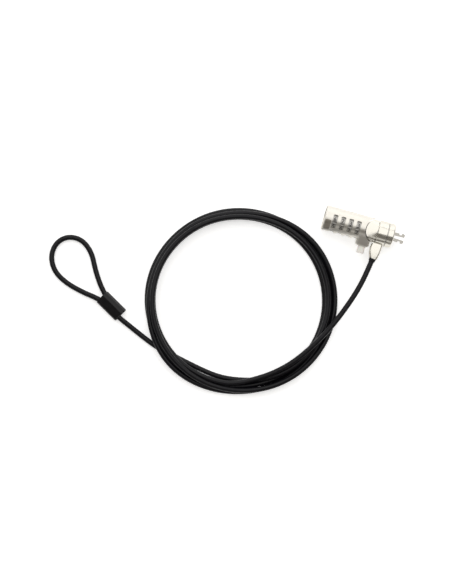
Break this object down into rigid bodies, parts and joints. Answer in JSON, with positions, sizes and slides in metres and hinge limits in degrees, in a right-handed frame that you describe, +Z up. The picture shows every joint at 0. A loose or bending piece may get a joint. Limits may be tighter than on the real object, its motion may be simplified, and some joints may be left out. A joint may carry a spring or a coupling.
{
  "type": "laptop cable lock",
  "caption": "Combination laptop lock: dial barrel hinged to a swivelling head with scissor hooks for a security slot, and a coiled steel cable with a crimped loop.",
  "frame": {"origin": "on the surface that the lock lies on, under the middle of the lock's own box, without its cable", "axes": "+X along the lock from its end cap to its hooks, +Z up from the surface, cable and thumb button towards -Y"},
  "size_m": [0.2518, 0.1575, 0.019],
  "materials": {
    "satin_nickel": "satin nickel plate on a zinc casting",
    "polished_nickel": "polished nickel plate",
    "dial_nickel": "satin plated zinc with inked figures",
    "brass": "turned brass",
    "zinc": "bare zinc casting",
    "steel": "turned steel",
    "hook_steel": "hardened and plated steel",
    "spring_steel": "spring wire",
    "white_plastic": "moulded white plastic",
    "cable_jacket": "clear black vinyl over steel rope",
    "crimp_alloy": "pressed aluminium",
    "black_plastic": "moulded black vinyl"
  },
  "bodies": {
    "collar": {"cable_collar": "polished_nickel", "swivel_washer": "steel", "cable_ferrule": "steel", "cable_lock_tail": "cable_jacket", "cable_coil": "cable_jacket", "cable_loop_tail": "cable_jacket", "cable_loop": "cable_jacket", "crimp_sleeve": "crimp_alloy", "sleeve_cover": "black_plastic"},
    "head": {"knuckle": "polished_nickel", "pivot_pins": "steel", "nose_knob": "polished_nickel", "hook_pins": "steel", "plunger_spring": "spring_steel"},
    "push_rod": {"plunger": "steel"},
    "left_hook": {"hook_left": "hook_steel"},
    "right_hook": {"hook_right": "hook_steel"},
    "barrel": {"barrel_shell": "satin_nickel", "end_cap": "satin_nickel", "thrust_ring": "zinc", "detent_washers": "steel", "pivot_fork": "zinc", "spindle_spring": "spring_steel"},
    "code_screw": {"reset_screw": "steel"},
    "locking_rod": {"spindle": "steel"},
    "button": {"release_button": "white_plastic", "release_cam": "steel"},
    "wheel_1": {"dial_1": "dial_nickel", "gate_sleeve_1": "brass"},
    "wheel_2": {"dial_2": "dial_nickel", "gate_sleeve_2": "brass"},
    "wheel_3": {"dial_3": "dial_nickel", "gate_sleeve_3": "brass"},
    "wheel_4": {"dial_4": "dial_nickel", "gate_sleeve_4": "brass"}
  },
  "joints": [
    {"name": "head_swivel", "type": "hinge", "parent": "collar", "child": "head", "pos_m": [0.0104, 0.00547, 0.0095], "axis": [1, 0, 0], "continuous": true},
    {"name": "barrel_pivot", "type": "hinge", "parent": "head", "child": "barrel", "pos_m": [0.0104, 0.00547, 0.0095], "axis": [0, 0, 1], "range_deg": [-35, 5]},
    {"name": "release_push", "type": "slide", "parent": "barrel", "child": "button", "axis": [0, 1, 0], "range_m": [0, 0.0024], "stiffness_N_per_m": 400, "springref_m": -0.0015},
    {"name": "spindle_slide", "type": "slide", "parent": "barrel", "child": "locking_rod", "axis": [1, 0, 0], "range_m": [-0.0025, 0], "deforming": ["spindle_spring"]},
    {"name": "plunger_slide", "type": "slide", "parent": "head", "child": "push_rod", "axis": [1, 0, 0], "range_m": [-0.0025, 0], "deforming": ["plunger_spring"]},
    {"name": "left_hook_close", "type": "hinge", "parent": "head", "child": "left_hook", "pos_m": [0.0199, 0.00747, 0.0095], "axis": [0, 0, 1], "range_deg": [-5.2, 0]},
    {"name": "right_hook_close", "type": "hinge", "parent": "head", "child": "right_hook", "pos_m": [0.0199, 0.00347, 0.0095], "axis": [0, 0, 1], "range_deg": [0, 5.2]},
    {"name": "code_screw_turn", "type": "hinge", "parent": "barrel", "child": "code_screw", "pos_m": [-0.0291, 0.00547, 0.0095], "axis": [1, 0, 0], "range_deg": [0, 90]},
    {"name": "dial_1_turn", "type": "hinge", "parent": "barrel", "child": "wheel_1", "pos_m": [-0.023, 0.00547, 0.0095], "axis": [1, 0, 0], "continuous": true},
    {"name": "dial_2_turn", "type": "hinge", "parent": "barrel", "child": "wheel_2", "pos_m": [-0.01705, 0.00547, 0.0095], "axis": [1, 0, 0], "continuous": true},
    {"name": "dial_3_turn", "type": "hinge", "parent": "barrel", "child": "wheel_3", "pos_m": [-0.0111, 0.00547, 0.0095], "axis": [1, 0, 0], "continuous": true},
    {"name": "dial_4_turn", "type": "hinge", "parent": "barrel", "child": "wheel_4", "pos_m": [-0.00515, 0.00547, 0.0095], "axis": [1, 0, 0], "continuous": true}
  ],
  "couplings": [
    {"joint": "spindle_slide", "follows": "release_push", "ratio": -1},
    {"joint": "plunger_slide", "follows": "release_push", "ratio": -1},
    {"joint": "left_hook_close", "follows": "release_push", "rad_per_m": -36.36},
    {"joint": "right_hook_close", "follows": "release_push", "rad_per_m": 36.36}
  ]
}
